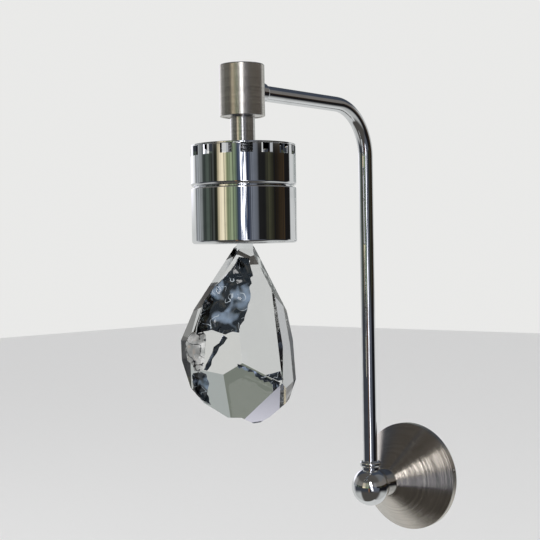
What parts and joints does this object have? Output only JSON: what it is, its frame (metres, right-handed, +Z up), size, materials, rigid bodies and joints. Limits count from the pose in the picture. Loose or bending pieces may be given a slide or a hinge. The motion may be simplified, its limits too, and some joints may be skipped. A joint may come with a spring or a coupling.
{
  "type": "wall sconce with hanging crystal",
  "caption": "Wall light with a cone-shaped wall cup, swivelling bent-tube arm, vented cylindrical shade and a large faceted crystal hanging under it.",
  "frame": {"origin": "on the wall plane, at the centre of the wall cup and of its two screw slots", "axes": "+Z up, -Y out of the wall towards the room, +X to the right as seen from the room"},
  "size_m": [0.078, 0.2155, 0.3216],
  "materials": {
    "chrome": "polished chrome plate",
    "satin_nickel": "lathe-turned and left satin, under thin nickel plate",
    "steel": "plain zinc-plated or stainless steel",
    "brass": "turned brass",
    "block_plastic": "moulded plastic",
    "ceramic_holder": "glazed ceramic",
    "frosted_glass": "frosted pane",
    "lamp_glass": "clear quartz",
    "crystal_glass": "clear cut crystal with rough broken areas",
    "seal": "silicone",
    "lead_sheath": "round sheath",
    "core_sheath": "insulated core"
  },
  "bodies": {
    "wall_mount": {"wall_bracket": "steel", "canopy_cone": "satin_nickel", "canopy_grub_screws": "steel", "terminal_block": "block_plastic", "terminal_screws": "brass", "earth_screw": "brass", "neck_collar": "chrome", "swivel_ball": "chrome", "inlet_nipple": "brass", "nipple_nut": "steel", "nipple_washer": "steel", "base_lead": "lead_sheath", "lead_tails": "core_sheath"},
    "arm": {"swivel_spindle": "steel", "spindle_clip": "steel", "arm_tube": "chrome", "arm_boss": "chrome", "arm_nut": "steel", "head_cap": "satin_nickel", "cap_base": "satin_nickel", "stem": "satin_nickel", "stem_nut": "steel", "drum_lid": "chrome", "lid_screws": "steel", "vent_ring": "chrome", "lamp_holder": "ceramic_holder", "lamp_pins": "steel", "lamp_envelope": "lamp_glass", "lamp_filament": "steel", "arm_lead": "lead_sheath", "holder_tails": "core_sheath"},
    "locking_ring": {"lock_ring": "chrome"},
    "carrier": {"diffuser_glass": "frosted_glass", "glass_gasket": "seal", "crystal_yoke": "steel", "yoke_nut": "steel", "crystal_pin": "steel", "pin_clips": "steel"},
    "shade_ring": {"lower_ring": "chrome"},
    "hanging_crystal": {"crystal": "crystal_glass"}
  },
  "joints": [
    {"name": "arm_swivel", "type": "hinge", "parent": "wall_mount", "child": "arm", "pos_m": [0, -0.052, 0], "axis": [0, 0, 1], "range_deg": [-90, 90]},
    {"name": "lock_ring_turn", "type": "hinge", "parent": "arm", "child": "locking_ring", "pos_m": [0, -0.052, 0.016], "axis": [0, 0, 1], "range_deg": [0, 90]},
    {"name": "carrier_drop", "type": "slide", "parent": "arm", "child": "carrier", "axis": [0, 0, 1], "range_m": [-0.004, 0]},
    {"name": "shade_ring_turn", "type": "hinge", "parent": "carrier", "child": "shade_ring", "pos_m": [0, -0.183, 0.188], "axis": [0, 0, 1], "range_deg": [0, 120]},
    {"name": "crystal_swing", "type": "hinge", "parent": "carrier", "child": "hanging_crystal", "pos_m": [0, -0.183, 0.1841], "axis": [0.7547, 0.6561, 0], "range_deg": [-10, 10]}
  ],
  "couplings": [
    {"joint": "shade_ring_turn", "follows": "carrier_drop", "rad_per_m": -523.59}
  ]
}
